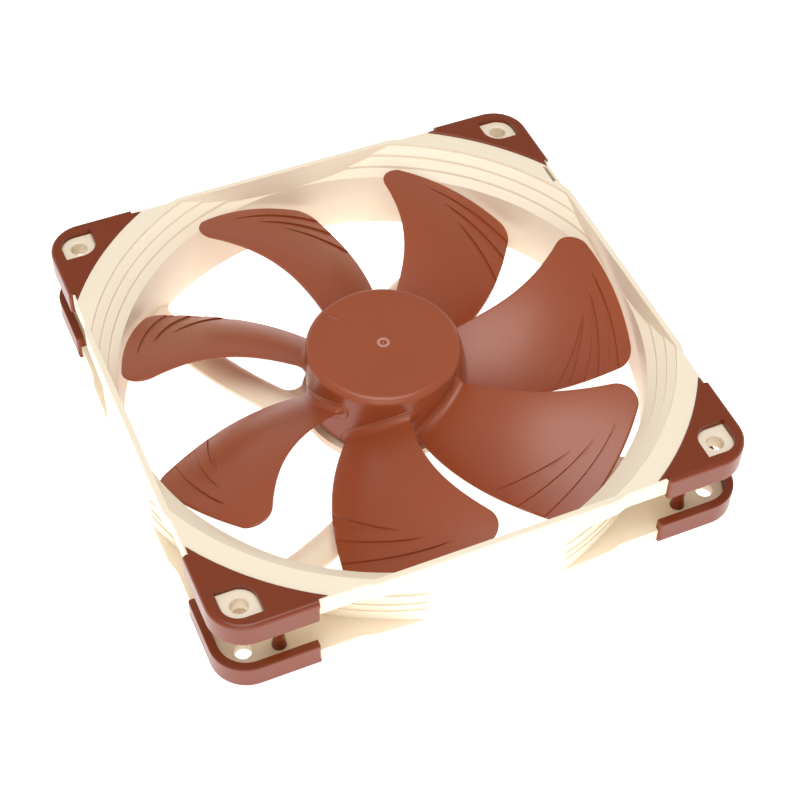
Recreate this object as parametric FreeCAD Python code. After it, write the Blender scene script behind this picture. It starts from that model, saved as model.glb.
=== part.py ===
"""Case fan, 140 mm square and 25 mm deep, built as its separate pieces.

Units are millimetres. The origin is on the rotor axis at the exhaust side's resting plane, +Z points
to the intake side, and -Y is the front. Each function makes one piece; build() writes one STEP per piece.
"""
import FreeCAD, Part
import math
import os

V = FreeCAD.Vector
UP = V(0, 0, 1)

# ---- overall sizes ----
fan_size = 140.0            # side of the square over the corner pads and side panels
fan_depth = 25.0            # pad face to pad face
hole_margin = 7.75          # screw hole centre to each side; the standard spacing is then 124.5
running_gap = 0.05          # a shaft in its bearing, on the radius
spare = 3.0                 # how far a cutting shape runs past what it cuts
tiny = 0.01                 # places nearer together than this count as the same
slip_gap = 0.10             # pieces of the stationary assembly that slide together

# ---- frame moulding ----
face_inset = 0.4            # the frame faces stand this far inside the pad faces
side_step = 1.0             # the sides near the pads stand this far inside the middle panels
panel_gap = 9.4             # length of the stepped-in side between a panel's curve and a pad
panel_blend = 6.0           # length of the curve from the panel to the stepped side
frame_round = 0.35          # rounding of the frame's outer rims
intake_flange = 5.4         # thickness of the upper flange
exhaust_flange = 3.8        # thickness of the lower flange
gusset_drop = 2.0           # extra thickness of the upper flange where it meets the side panel
gusset_dip = 1.2            # thickness lost by the lower flange there
gusset_length = 16.0        # length over which both change
side_wall = 1.6             # wall left at the middle of each side
side_trim = 0.05            # the side walls' inner planes cut this far into the round bore
tip_gap = 1.25              # blade tip to duct bore
duct_wall = 4.1             # duct bore to the outside of the wall between the corner openings
rib_ledge = 0.35            # each band of the wall leans out to a ledge this wide
rib_heights = (7.4, 10.0, 13.6, 17.7)
mouth_steps = 3             # stepped rings of the intake mouth
mouth_run = 2.2             # radial width of one stepped ring
mouth_rise = 2.3            # height of one stepped ring
mouth_drop = 0.8            # vertical part of that height
mouth_flare = 0.1           # each ring's vertical part leans out by this much
screw_radius = 2.15
screw_flare = 0.35
mark_radius = 1.7           # shallow circles left by the mould's pins on the intake flange
mark_width = 0.35
mark_depth = 0.12
mark_along = 22.3           # place of a circle along the side, from the middle
mark_margin = 5.2           # and in from the side

# ---- motor base and struts ----
base_lip = 1.5              # the base disc is this much larger than the hub, on the radius
base_top = 2.8
strut_count = 4
strut_width = 8.0
strut_height = 3.2
strut_edge = 1.2            # height of a strut's thin edges
strut_start_angle = 187.4   # place of the first strut's middle line where it starts
strut_start_inset = 5.2     # it starts this far inside the base's edge
strut_end_angle = 131.5     # place of the same line where it ends
strut_end_share = 0.25625   # it ends this share of its width inside the duct wall
strut_bend_radius = 120.0
strut_fillet = 4.0          # radius in plan where a strut's edges meet the base and the duct
cable_strut = 3             # the strut that has an open channel for a lead
cable_width = 3.2
cable_depth = 0.9
clip_slot = (6.5, 1.0)      # lead's clip slot through the intake flange: length and width
clip_slot_inset = 2.0       # slot to the side of the fan
clip_slot_gap = 2.5         # slot to the pad's end
boss_wall = 1.6
boss_rise_above_base = 0.7
label_inset = 3.7           # the label is this much smaller than the base, on the radius
label_thick = 0.15
label_recess = 0.3
label_lift = 0.1

# ---- corner pads ----
pad_length = 24.6           # along each side, from the corner
pad_skirt = 7.2             # height of the skirt
pad_wall = 2.2
pad_plate = 1.8
pad_corner = 9.5            # outer corner radius
pad_mouth_gap = 5.65        # intake mouth to the pads' concave edge, on the radius
pad_horn_inset = 1.7        # the plate's tips run this far inside the side
pad_round = 1.1             # rounding of the outer rim
pad_end_round = 0.6
pad_arc_round = 0.45        # rounding along the concave edge
pad_foot_round = 0.35       # rounding of the skirt's far outer edge
pad_window = 4.6            # half width of the window round the screw hole
window_gap = 0.4
boss_rise = 0.3             # the frame's island stands this far proud in the window
peg_inward = 8.6            # peg centre from the screw hole, along the side
peg_outward = 1.4           # and towards the outside
peg_radius = 1.4
peg_barb_radius = 1.85
peg_barb_length = 3.0
peg_end_gap = 1.0           # peg's end to the middle of the fan's depth
peg_end_round = 0.7

# ---- impeller ----
hub_radius = 20.2
hub_clear = 1.2             # motor base to the hub's rim
hub_drop = 1.6              # the hub's face stands this far below the intake face of the frame
hub_wall = 1.6
hub_round = 2.0
gate_radius = 1.5
gate_width = 0.75
gate_depth = 0.2
blade_count = 7
blade_thick_root = 2.0
blade_thick_tip = 1.2
blade_edge_share = 0.45     # edge thickness as a share of the thickness at mid chord
blade_camber = 0.55         # 0 is flat; more turns the trailing part steeper
blade_front_round = 5.2     # tip corner at the leading edge, in plan
blade_rear_round = 6.0
# stations are evenly spaced from the hub to the tip
lead_angles = (9.0, 6.5, 11.3, 18.5)
trail_angles = (-36.4, -30.6, -23.6, -17.2)
lead_drops = (8.6, 4.5, 1.9, 1.0)       # leading edge below the frame's intake face
trail_rises = (7.0, 7.2, 7.6, 8.1)      # trailing edge above the frame's exhaust face

# ---- rotor inner parts ----
yoke_thick = 0.8
yoke_board_gap = 0.1        # circuit board's top to the yoke's rim
magnet_thick = 2.0
magnet_board_gap = 1.5
magnet_drop = 4.4           # hub's ceiling to the magnet
shaft_radius = 1.5
shaft_end_round = 0.6
bush_wall = 1.5
bush_flange_width = 3.0
bush_flange = 0.8
bush_length = 3.2
clip_groove = 0.35          # depth of the shaft's groove
clip_reach = 1.1            # clip's outer radius beyond the shaft's
clip_thick = 0.4

# ---- bearing ----
bearing_wall = 2.1          # sleeve, from the shaft outwards
tube_wall = 1.0
tube_floor = 1.2            # plastic left under the bearing tube
tube_drop = 4.0             # hub's ceiling to the tube's top
stabiliser_thick = 1.0
thrust_thick = 0.6
clip_space = 1.5            # room for the clip between thrust plate and sleeve
seal_thick = 0.6
seal_lip_gap = 0.2
sleeve_top_gap = 0.2

# ---- stator ----
air_gap = 0.5               # magnet to pole shoes
core_board_gap = 3.6        # circuit board's top to the core
core_drop = 6.9             # hub's ceiling to the core
core_ring = 2.9             # radial width of the core's centre ring
pole_count = 4
arm_width = 3.6
arm_overlap = 1.0           # an arm runs this far into the ring at each of its ends
shoe_thick = 2.5
shoe_span = 70.0            # degrees
insulator_thick = 0.6
collar_height = 2.6
collar_wall = 0.8
bobbin_flange_width = 7.0
coil_end_gap = 0.2
coil_gap = 0.1              # winding to the bobbin
winding_thick = 1.8
winding_side = 2.4
winding_round = 1.4
pin_radius = 0.35
pin_below = 0.4             # the pins end this far under the board
pin_inset = 1.1             # ring of winding pins, out from the core's bore

# ---- circuit board ----
board_inset = 1.25          # the board is this much smaller than the magnet, on the radius
board_rise = 0.4            # the boss's top to the board
board_thick = 1.0
board_bore_gap = 0.7        # board to the bearing tube
post_radius = 1.2
post_count = 3
post_inset = 3.4            # posts and driver chip, in from the board's edge
part_inset = 2.2            # the other small parts, in from the board's edge
hall_size = (3.0, 1.6, 0.9)             # along the ring, across it, and height
chip_size = (4.9, 3.0, 0.8)
capacitor_size = (3.2, 1.6, 0.9)
hall_angle = 45.0
chip_angle = 135.0
capacitor_angle = 225.0

# ---- sizes that follow from those above ----
half = fan_size / 2
hole = half - hole_margin
pad_start = half - pad_length
panel_half = pad_start - panel_gap - panel_blend
frame_bottom = face_inset
frame_top = fan_depth - face_inset
base_bottom = frame_bottom
cavity_bottom = frame_bottom + exhaust_flange
cavity_top = frame_top - intake_flange
side_near_pad = half - side_step
side_under_pad = half - pad_wall - slip_gap
bore = half - side_wall + side_trim
tip_radius = bore - tip_gap
mouth_radius = bore + mouth_steps * mouth_run
pad_arc = mouth_radius + pad_mouth_gap
peg_length = fan_depth / 2 - peg_end_gap
base_radius = hub_radius + base_lip
strut_start_radius = base_radius - strut_start_inset
strut_end_radius = bore + strut_end_share * strut_width
label_radius = base_radius - label_inset
boss_top = base_top + boss_rise_above_base
board_bottom = boss_top + board_rise
board_top = board_bottom + board_thick
hub_bottom = base_top + hub_clear
hub_top = frame_top - hub_drop
hub_inside = hub_radius - hub_wall
ceiling = hub_top - hub_wall
lead_heights = [frame_top - drop for drop in lead_drops]
trail_heights = [frame_bottom + rise for rise in trail_rises]
yoke_radius = hub_inside - slip_gap
yoke_bottom = board_top + yoke_board_gap
magnet_radius = yoke_radius - yoke_thick - running_gap
magnet_inside = magnet_radius - magnet_thick
magnet_bottom = board_top + magnet_board_gap
magnet_top = ceiling - magnet_drop
pole_radius = magnet_inside - air_gap
bush_radius = shaft_radius + bush_wall
bush_flange_radius = bush_radius + bush_flange_width
clip_radius = shaft_radius + clip_reach
tube_inside = shaft_radius + bearing_wall
tube_radius = tube_inside + tube_wall
tube_bottom = base_bottom + tube_floor
tube_top = ceiling - tube_drop
core_bottom = board_top + core_board_gap
core_top = ceiling - core_drop
core_inside = tube_radius + slip_gap
ring_radius = core_inside + core_ring
arm_end = pole_radius - shoe_thick
thrust_top = tube_bottom + running_gap + stabiliser_thick + thrust_thick
groove_bottom = thrust_top + clip_space / 2
sleeve_bottom = thrust_top + clip_space
seal_bottom = tube_top - sleeve_top_gap - seal_thick
sleeve_top = seal_bottom - sleeve_top_gap
shaft_bottom = thrust_top + running_gap
board_radius = magnet_radius - board_inset
part_place = board_radius - part_inset
post_place = board_radius - post_inset
pin_place = core_inside + pin_inset
pin_top = core_bottom - insulator_thick / 2


def polar(radius, degrees, z=0.0):
    a = math.radians(degrees)
    return V(radius * math.cos(a), radius * math.sin(a), z)


def line(a, b):
    return Part.LineSegment(a, b).toShape()


def arc(a, b, c):
    return Part.Arc(a, b, c).toShape()


def tube(outer, inner, bottom, top):
    """Ring about the rotor axis."""
    ring = Part.makeCylinder(outer, top - bottom, V(0, 0, bottom))
    return ring.cut(Part.makeCylinder(inner, top - bottom + 2 * spare, V(0, 0, bottom - spare)))


def disc(radius, bottom, top, centre=V(0, 0, 0)):
    return Part.makeCylinder(radius, top - bottom, V(centre.x, centre.y, bottom))


def block(x0, x1, y0, y1, z0, z1):
    return Part.makeBox(x1 - x0, y1 - y0, z1 - z0, V(x0, y0, z0))


def turned(profile):
    """Solid of revolution about the rotor axis from (radius, height) corners."""
    points = [V(r, 0, z) for r, z in profile]
    wire = Part.makePolygon(points + [points[0]])
    return Part.Face(wire).revolve(V(0, 0, 0), UP, 360)


def prism(edges, bottom, top):
    """Plan outline drawn at height 0, raised to a solid from bottom to top."""
    face = Part.Face(Part.Wire(edges))
    face.translate(V(0, 0, bottom))
    return face.extrude(V(0, 0, top - bottom))


def spun(shape, count, index):
    """Copy of a shape, turned about the rotor axis to place index of count."""
    copy = shape.copy()
    copy.rotate(V(0, 0, 0), UP, 360.0 * index / count)
    return copy


def one_solid(shape):
    """The single solid of a Boolean result, with its split faces joined."""
    clean = shape.removeSplitter()
    if len(clean.Solids) != 1:
        raise ValueError("expected one solid, got %d" % len(clean.Solids))
    return clean.Solids[0]


# ---- frame ----

def frame_outline():
    """Outline of the frame: middle panels, stepped-in sides, and recessed corners under the pads."""
    corner = pad_corner - pad_wall
    straight = side_under_pad - corner
    ends = panel_half + panel_blend
    step = pad_start - slip_gap
    edges = []
    for side in range(4):
        def at(along, out):
            point = V(along, -out, 0)
            return FreeCAD.Rotation(UP, 90.0 * side).multVec(point)

        def blend(a0, d0, a1, d1):
            middle = (a0 + a1) / 2
            curve = Part.BezierCurve()
            curve.setPoles([at(a0, d0), at(middle, d0), at(middle, d1), at(a1, d1)])
            return curve.toShape()

        edges.append(line(at(-straight, side_under_pad), at(-step, side_under_pad)))
        edges.append(line(at(-step, side_under_pad), at(-step, side_near_pad)))
        edges.append(line(at(-step, side_near_pad), at(-ends, side_near_pad)))
        edges.append(blend(-ends, side_near_pad, -panel_half, half))
        edges.append(line(at(-panel_half, half), at(panel_half, half)))
        edges.append(blend(panel_half, half, ends, side_near_pad))
        edges.append(line(at(ends, side_near_pad), at(step, side_near_pad)))
        edges.append(line(at(step, side_near_pad), at(step, side_under_pad)))
        edges.append(line(at(step, side_under_pad), at(straight, side_under_pad)))
        bow = straight + corner * math.sqrt(0.5)
        edges.append(arc(at(straight, side_under_pad), at(bow, bow), at(side_under_pad, straight)))
    return edges


def duct_outside():
    """The duct's outer wall, in bands that each lean out upwards and end in a ledge."""
    heights = (frame_bottom - 1,) + rib_heights + (frame_top + 1,)
    radius = bore + duct_wall
    profile = [(0, heights[0])]
    for bottom, top in zip(heights, heights[1:]):
        profile.append((radius - rib_ledge, bottom))
        profile.append((radius, top))
    profile.append((0, heights[-1]))
    return turned(profile)


def corner_cavities():
    """Open spaces between the flanges, one pair of wedges for each corner."""
    start = math.sqrt((bore + duct_wall) ** 2 - half ** 2)
    end = start + gusset_length
    start -= spare
    far = half + spare
    middle = (start + end) / 2
    top = [V(start, 0, cavity_top - gusset_drop), V(middle, 0, cavity_top - gusset_drop),
           V(middle, 0, cavity_top), V(end, 0, cavity_top)]
    low = [V(start, 0, cavity_bottom - gusset_dip), V(middle, 0, cavity_bottom - gusset_dip),
           V(middle, 0, cavity_bottom), V(end, 0, cavity_bottom)]
    upper = Part.BezierCurve()
    upper.setPoles(top)
    lower = Part.BezierCurve()
    lower.setPoles(low)
    far_top = V(far, 0, cavity_top)
    far_low = V(far, 0, cavity_bottom)
    face = Part.Face(Part.Wire([upper.toShape(), line(top[-1], far_top), line(far_top, far_low),
                                line(far_low, low[-1]), lower.toShape(), line(low[0], top[0])]))
    slab = face.extrude(V(0, far, 0))
    corners = [V(0, 0, 0), V(far, far, 0), V(0, far, 0)]
    wedge = prism([line(corners[i], corners[(i + 1) % 3]) for i in range(3)], 0, fan_depth)
    one = slab.common(wedge).cut(duct_outside())
    cavities = []
    for hand in (one, one.mirror(V(0, 0, 0), V(1, 0, 0))):
        for side in range(4):
            cavities.append(spun(hand, 4, side))
    return cavities


def duct_inside():
    """The air space: straight bore, stepped intake mouth, both kept inside the thin side walls."""
    profile = [(0, frame_bottom - 1), (bore, frame_bottom - 1)]
    z = frame_top - mouth_steps * mouth_rise
    radius = bore
    profile.append((radius, z))
    for step in range(mouth_steps):
        radius += mouth_run
        z += mouth_rise - mouth_drop
        profile.append((radius, z))
        z += mouth_drop
        profile.append((radius + mouth_flare, z))
    profile.append((radius + mouth_flare, frame_top + 1))
    profile.append((0, frame_top + 1))
    reach = half - side_wall
    bounds = block(-reach, reach, -reach, reach, frame_bottom - 2, frame_top + 2)
    return turned(profile).common(bounds)


def along_strut(section):
    """Sweeps a section, given as (across, up) corners or as a wire maker, along a strut's arc."""
    a = polar(strut_start_radius, strut_start_angle)
    b = polar(strut_end_radius, strut_end_angle)
    chord = b - a
    sideways = V(chord.y, -chord.x, 0).normalize()
    rise = math.sqrt(strut_bend_radius ** 2 - (chord.Length / 2) ** 2)
    centre = (a + b) * 0.5 + sideways * rise
    out = V(a - centre).normalize()
    sweep = math.degrees((b - centre).getAngle(a - centre))

    def at(across, up):
        return a + out * across + V(0, 0, base_bottom + up)

    return Part.Face(Part.Wire(section(at))).revolve(centre, UP, -sweep)


def strut(crowned):
    """One curved strut from the motor base to the duct; without its crown it is a flat strip."""
    side = strut_width / 2

    def section(at):
        left = at(-side, strut_edge)
        right = at(side, strut_edge)
        top = arc(right, at(0, strut_height), left) if crowned else line(right, left)
        return [line(at(-side, 0), at(side, 0)), line(at(side, 0), right), top, line(left, at(-side, 0))]

    return along_strut(section)


def cable_channel():
    """Open channel for a lead, under one strut from the motor base to the duct wall."""
    side = cable_width / 2

    def section(at):
        corners = [at(-side, -spare), at(side, -spare), at(side, cable_depth), at(-side, cable_depth)]
        return [line(corners[i - 1], corners[i]) for i in range(4)]

    return spun(along_strut(section), strut_count, cable_strut)


def spokes():
    """All struts, with fillets in plan where their edges run into the base and the duct wall."""
    top = base_bottom + strut_edge
    rim = bore + side_wall / 2
    wall = tube(rim, bore, base_bottom, top)
    strips = [spun(strut(False), strut_count, index) for index in range(strut_count)]
    layer = disc(base_radius, base_bottom, top).fuse([wall] + strips).removeSplitter()
    layer = layer.common(disc(rim, base_bottom, top))
    corners = []
    for edge in layer.Edges:
        radius = flat(edge.CenterOfMass).Length
        meets = min(abs(radius - base_radius), abs(radius - bore)) < tiny
        if meets and abs(edge.BoundBox.ZLength - edge.Length) < tiny:
            corners.append(edge)
    layer = layer.makeFillet(strut_fillet, corners)
    above_base = disc(base_radius, base_top, fan_depth)
    crown = strut(True).cut(above_base).common(disc(rim, 0, fan_depth))
    return [layer] + [spun(crown, strut_count, index) for index in range(strut_count)]


def pad_region(clear=0.0, outside=None):
    """Plan of a pad over the (+X, +Y) corner; clear grows it, outside squares it off past the frame."""
    far = outside or half
    inner = pad_arc - clear
    rail = half - pad_horn_inset + clear
    start = pad_start - clear
    tip = math.sqrt(inner ** 2 - rail ** 2)
    waist = inner * math.sqrt(0.5)
    edges = [arc(V(rail, tip, 0), V(waist, waist, 0), V(tip, rail, 0)),
             line(V(tip, rail, 0), V(start, rail, 0)),
             line(V(start, rail, 0), V(start, far, 0))]
    if outside:
        edges.append(line(V(start, far, 0), V(far, far, 0)))
        edges.append(line(V(far, far, 0), V(far, start, 0)))
    else:
        straight = far - pad_corner
        bow = straight + pad_corner * math.sqrt(0.5)
        edges.append(line(V(start, far, 0), V(straight, far, 0)))
        edges.append(arc(V(straight, far, 0), V(bow, bow, 0), V(far, straight, 0)))
        edges.append(line(V(far, straight, 0), V(far, start, 0)))
    edges.append(line(V(far, start, 0), V(rail, start, 0)))
    edges.append(line(V(rail, start, 0), V(rail, tip, 0)))
    return edges


def leaf(size, bottom, top):
    """Window shape round a screw hole: a square with its two diagonal corners fully rounded."""
    c = V(hole, hole, 0)
    bow = size * math.sqrt(0.5)
    edges = [arc(c + V(size, 0, 0), c + V(bow, bow, 0), c + V(0, size, 0)),
             line(c + V(0, size, 0), c + V(-size, size, 0)),
             line(c + V(-size, size, 0), c + V(-size, 0, 0)),
             arc(c + V(-size, 0, 0), c + V(-bow, -bow, 0), c + V(0, -size, 0)),
             line(c + V(0, -size, 0), c + V(size, -size, 0)),
             line(c + V(size, -size, 0), c + V(size, 0, 0))]
    return prism(edges, bottom, top)


def peg_places():
    return [V(hole - peg_inward, hole + peg_outward, 0), V(hole + peg_outward, hole - peg_inward, 0)]


def corner_cutters():
    """Everything removed from the (+X, +Y) corner: pad recesses, the screw hole and the peg holes."""
    depth = pad_plate + running_gap
    low = prism(pad_region(slip_gap, half + spare), frame_bottom - spare, depth)
    low = low.cut(leaf(pad_window - window_gap, depth - boss_rise, fan_depth))
    high = prism(pad_region(slip_gap, half + spare), fan_depth - depth, frame_top + spare)
    high = high.cut(leaf(pad_window - window_gap, 0, fan_depth - depth + boss_rise))
    cutters = [low, high, disc(screw_radius, -spare, fan_depth + spare, V(hole, hole, 0))]
    for face, direction in ((depth - boss_rise, 1), (fan_depth - depth + boss_rise, -1)):
        flare = Part.makeCone(screw_radius + screw_flare, screw_radius, screw_flare,
                              V(hole, hole, face), V(0, 0, direction))
        cutters.append(flare)
    for place in peg_places():
        cutters.append(disc(peg_radius + slip_gap, -spare, fan_depth + spare, place))
    return cutters


def motor_base():
    """Disc that carries the motor, with the boss for the bearing tube and the circuit board's posts."""
    base = disc(base_radius, base_bottom, base_top)
    boss = disc(tube_radius + boss_wall, base_bottom, boss_top)
    post = disc(post_radius, base_bottom, board_bottom - running_gap, V(-post_place, 0, 0))
    return base.fuse([boss] + [spun(post, post_count, index) for index in range(post_count)])


def frame_block():
    """The outline raised to the full depth of the frame, with its outer rims rounded."""
    body = prism(frame_outline(), frame_bottom, frame_top)
    rims = [e for e in body.Edges if e.BoundBox.ZLength < tiny]
    return body.makeFillet(frame_round, rims)


def mould_marks():
    """Shallow circles that the mould's pins leave on the intake flange, one beside each corner."""
    cutters = []
    for side in range(4):
        place = V(-mark_along, mark_margin - half, 0)
        ring = tube(mark_radius, mark_radius - mark_width, frame_top - mark_depth, frame_top + spare)
        ring.translate(place)
        cutters.append(spun(ring, 4, side))
    return cutters


def lead_slot():
    """Slot in the intake flange where a lead is clipped as it leaves."""
    length, width = clip_slot
    far = half - clip_slot_inset
    end = pad_start - clip_slot_gap
    return block(far - width, far, end - length, end, frame_top - intake_flange - spare, frame_top + spare)


def housing():
    """The frame moulding: flanges, duct, motor base and struts in one piece."""
    body = frame_block()
    body = body.cut(corner_cavities())
    body = body.cut(duct_inside())
    body = body.fuse(spokes() + [motor_base()])
    cutters = [disc(tube_radius, tube_bottom, fan_depth)]
    cutters.append(disc(label_radius + slip_gap, base_bottom - spare, base_bottom + label_recess))
    for corner in range(4):
        cutters += [spun(c, 4, corner) for c in corner_cutters()]
    cutters += mould_marks() + [cable_channel(), lead_slot()]
    return one_solid(body.cut(cutters))


# ---- corner pads ----

def pad(grip):
    """Soft pad for the (+X, +Y) corner, face at height 0; grip is its face to the flange's far side."""
    plate = prism(pad_region(), 0, pad_plate)
    skirt = pad_skirt_wall()
    body = plate.fuse(skirt).removeSplitter().Solids[0]
    rim = [e for e in body.Edges if e.BoundBox.ZMax < tiny and outer_rim(e)]
    body = body.makeFillet(pad_round, rim)
    inner_rim = [e for e in body.Edges if e.BoundBox.ZMax < tiny and on_arc(e)]
    body = body.makeFillet(pad_arc_round, inner_rim)
    window = leaf(pad_window, -spare, pad_plate + spare)
    pegs = [peg(place, grip) for place in peg_places()]
    return one_solid(body.cut(window).fuse(pegs))


def pad_skirt_wall():
    """The wall of a pad round the frame's corner, with its ends and its far edge rounded."""
    inner = half - pad_wall
    room = block(0, inner, 0, inner, pad_plate, pad_skirt + spare)
    corner = [e for e in room.Edges if min(e.CenterOfMass.x, e.CenterOfMass.y) > inner - tiny]
    room = room.makeFillet(pad_corner - pad_wall, corner)
    skirt = prism(pad_region(), 0, pad_skirt).cut(room)
    skirt = skirt.common(block(pad_start, half, pad_start, half, 0, pad_skirt))
    ends = [e for e in skirt.Edges if e.BoundBox.ZLength > pad_skirt / 2 and on_outer_end(e)]
    skirt = skirt.makeFillet(pad_end_round, ends)
    far = [e for e in skirt.Edges if e.BoundBox.ZMin > pad_skirt - tiny and on_outer_face(e)]
    return skirt.makeFillet(pad_foot_round, far)


def on_outer_face(edge):
    """True for an edge on the skirt's outer side, its round corner or its rounded ends."""
    middle = edge.valueAt((edge.FirstParameter + edge.LastParameter) / 2)
    inner = half - pad_wall
    straight = half - pad_corner
    beyond = V(max(0.0, middle.x - straight), max(0.0, middle.y - straight), 0).Length
    return max(middle.x, middle.y) > inner + pad_wall / 2 and beyond > pad_corner - pad_end_round


def on_arc(edge):
    """True for an edge that follows the pad's concave arc."""
    middle = edge.valueAt((edge.FirstParameter + edge.LastParameter) / 2)
    return abs(flat(middle).Length - pad_arc) < tiny and edge.Length > 1


def on_outer_end(edge):
    """True for the two upright edges where a skirt's outer face meets its ends."""
    place = edge.CenterOfMass
    return max(place.x, place.y) > half - tiny and min(place.x, place.y) < pad_start + tiny


def outer_rim(edge):
    """True for the edges of a pad's face that lie on its outer side."""
    straight = half - pad_corner
    middle = edge.valueAt((edge.FirstParameter + edge.LastParameter) / 2)
    on_side = max(middle.x, middle.y) > half - tiny and edge.Length > 1
    return on_side or (middle.x > straight and middle.y > straight)


def peg(place, grip):
    """Pull-through peg: neck, barb past the flange, and a slim tail to grab."""
    seat = grip + running_gap
    neck = disc(peg_radius, pad_plate / 2, seat, place)
    barb = Part.makeCone(peg_barb_radius, peg_radius, peg_barb_length, V(place.x, place.y, seat), UP)
    tail = disc(peg_radius, seat, peg_length, place)
    tail_edges = [e for e in tail.Edges if e.BoundBox.ZMin > peg_length - tiny]
    tail = tail.makeFillet(peg_end_round, tail_edges)
    return neck.fuse([barb, tail])


# ---- impeller ----

def station(values, t):
    """Smooth value between four evenly spaced stations from hub (t = 0) to tip (t = 1)."""
    total = 0.0
    last = len(values) - 1
    for i, value in enumerate(values):
        weight = 1.0
        for j in range(last + 1):
            if j != i:
                weight *= (t * last - j) / (i - j)
        total += value * weight
    return total


def blade_point(t, s):
    """Point on the suction side: t from hub to tip, s from the leading to the trailing edge."""
    radius = hub_radius + (tip_radius - hub_radius) * t
    angle = station(lead_angles, t) + (station(trail_angles, t) - station(lead_angles, t)) * s
    fall = s - blade_camber * s * (1 - s)
    height = station(lead_heights, t) + (station(trail_heights, t) - station(lead_heights, t)) * fall
    return polar(radius, angle, height)


def blade_thickness(t, s):
    middle = blade_thick_root + (blade_thick_tip - blade_thick_root) * t
    belly = max(0.0, 4 * s * (1 - s))
    return middle * (blade_edge_share + (1 - blade_edge_share) * belly)


def surface(points):
    sheet = Part.BSplineSurface()
    sheet.interpolate(points)
    return sheet


def blade():
    """One blade: a curved plate between two surfaces, trimmed to its outline in plan."""
    spans = [-0.04 + 1.08 * i / 8 for i in range(9)]
    chords = [-0.04 + 1.08 * i / 10 for i in range(11)]
    upper = [[blade_point(t, s) for s in chords] for t in spans]
    lower = [[blade_point(t, s) - V(0, 0, blade_thickness(t, s)) for s in chords] for t in spans]
    top = surface(upper)
    bottom = surface(lower)
    faces = [top.toShape(), bottom.toShape()]
    for pick in range(4):
        a = side_curve(top, pick)
        b = side_curve(bottom, pick)
        faces.append(Part.makeRuledSurface(a, b))
    shell = Part.makeShell(faces)
    shell.sewShape()
    plate = Part.Solid(Part.Shell(shell.Faces))
    if plate.Volume < 0:
        plate.reverse()
    return plate.common(blade_outline())


def side_curve(sheet, pick):
    """Boundary curve of an interpolated surface, as an edge."""
    u0, u1, v0, v1 = sheet.bounds()
    if pick == 0:
        return sheet.uIso(u0).toShape()
    if pick == 1:
        return sheet.uIso(u1).toShape()
    if pick == 2:
        return sheet.vIso(v0).toShape()
    return sheet.vIso(v1).toShape()


def blade_outline():
    """Prism over the blade's plan: curved edges, a tip on the running circle, rounded tip corners."""
    root = -0.02
    steps = [root + (1 - root) * i / 6 for i in range(7)]
    lead = Part.BSplineCurve()
    lead.interpolate([flat(blade_point(t, 0)) for t in steps])
    trail = Part.BSplineCurve()
    trail.interpolate([flat(blade_point(t, 1)) for t in steps])
    tip = arc(flat(blade_point(1, 0)), flat(blade_point(1, 0.5)), flat(blade_point(1, 1)))
    back = line(flat(blade_point(root, 1)), flat(blade_point(root, 0)))
    body = prism([lead.toShape(), tip, trail.toShape(), back], 0, fan_depth)
    for s, radius in ((0, blade_front_round), (1, blade_rear_round)):
        corner = flat(blade_point(1, s))
        edges = [e for e in body.Edges
                 if e.BoundBox.ZLength > fan_depth / 2
                 and flat(e.Vertexes[0].Point).distanceToPoint(corner) < 0.1]
        body = body.makeFillet(radius, edges)
    return body


def flat(point):
    return V(point.x, point.y, 0)


def impeller():
    """Hub cup with its blades, a rounded crown and the gate mark at the centre."""
    cup = disc(hub_radius, hub_bottom, hub_top)
    crown = [e for e in cup.Edges if e.BoundBox.ZMin > hub_top - tiny]
    cup = cup.makeFillet(hub_round, crown)
    blades = []
    for index in range(blade_count):
        blades.append(spun(blade(), blade_count, index))
    body = cup.fuse(blades)
    body = body.cut([disc(hub_inside, hub_bottom - spare, ceiling),
                     tube(gate_radius, gate_radius - gate_width, hub_top - gate_depth, hub_top + spare)])
    return one_solid(body)


# ---- rotor inner parts ----

def rotor_yoke():
    """Steel cup pressed into the hub; it carries the magnet."""
    wall = tube(yoke_radius, yoke_radius - yoke_thick, yoke_bottom, ceiling - slip_gap)
    roof = tube(yoke_radius, bush_flange_radius + slip_gap, ceiling - slip_gap - yoke_thick,
                ceiling - slip_gap)
    return one_solid(wall.fuse(roof))


def ring_magnet():
    return tube(magnet_radius, magnet_inside, magnet_bottom, magnet_top)


def shaft_bush():
    """Brass bush that joins the shaft to the hub."""
    flange = tube(bush_flange_radius, shaft_radius, ceiling - bush_flange, ceiling)
    barrel = tube(bush_radius, shaft_radius, ceiling - bush_length, ceiling)
    return one_solid(flange.fuse(barrel))


def shaft():
    """Steel shaft with a rounded lower end and the groove for its clip."""
    top = ceiling
    rod = disc(shaft_radius, shaft_bottom, top)
    end = [e for e in rod.Edges if e.BoundBox.ZMax < shaft_bottom + tiny]
    rod = rod.makeFillet(shaft_end_round, end)
    groove = tube(shaft_radius + spare, shaft_radius - clip_groove,
                  groove_bottom, groove_bottom + clip_thick)
    return one_solid(rod.cut(groove))


def retaining_clip():
    """Split washer in the shaft's groove; it keeps the rotor from lifting out."""
    ring = tube(clip_radius, shaft_radius - clip_groove, groove_bottom + running_gap,
                groove_bottom + clip_thick - running_gap)
    gap = block(0, clip_radius + spare, -shaft_radius / 2, shaft_radius / 2,
                groove_bottom - spare, groove_bottom + spare)
    return one_solid(ring.cut(gap))


# ---- bearing ----

def bearing_tube():
    return tube(tube_radius, tube_inside, tube_bottom, tube_top)


def stabiliser_magnet():
    top = tube_bottom + running_gap + stabiliser_thick
    return disc(tube_inside - running_gap, tube_bottom + running_gap, top)


def thrust_plate():
    return disc(tube_inside - running_gap, thrust_top - thrust_thick, thrust_top)


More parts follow.
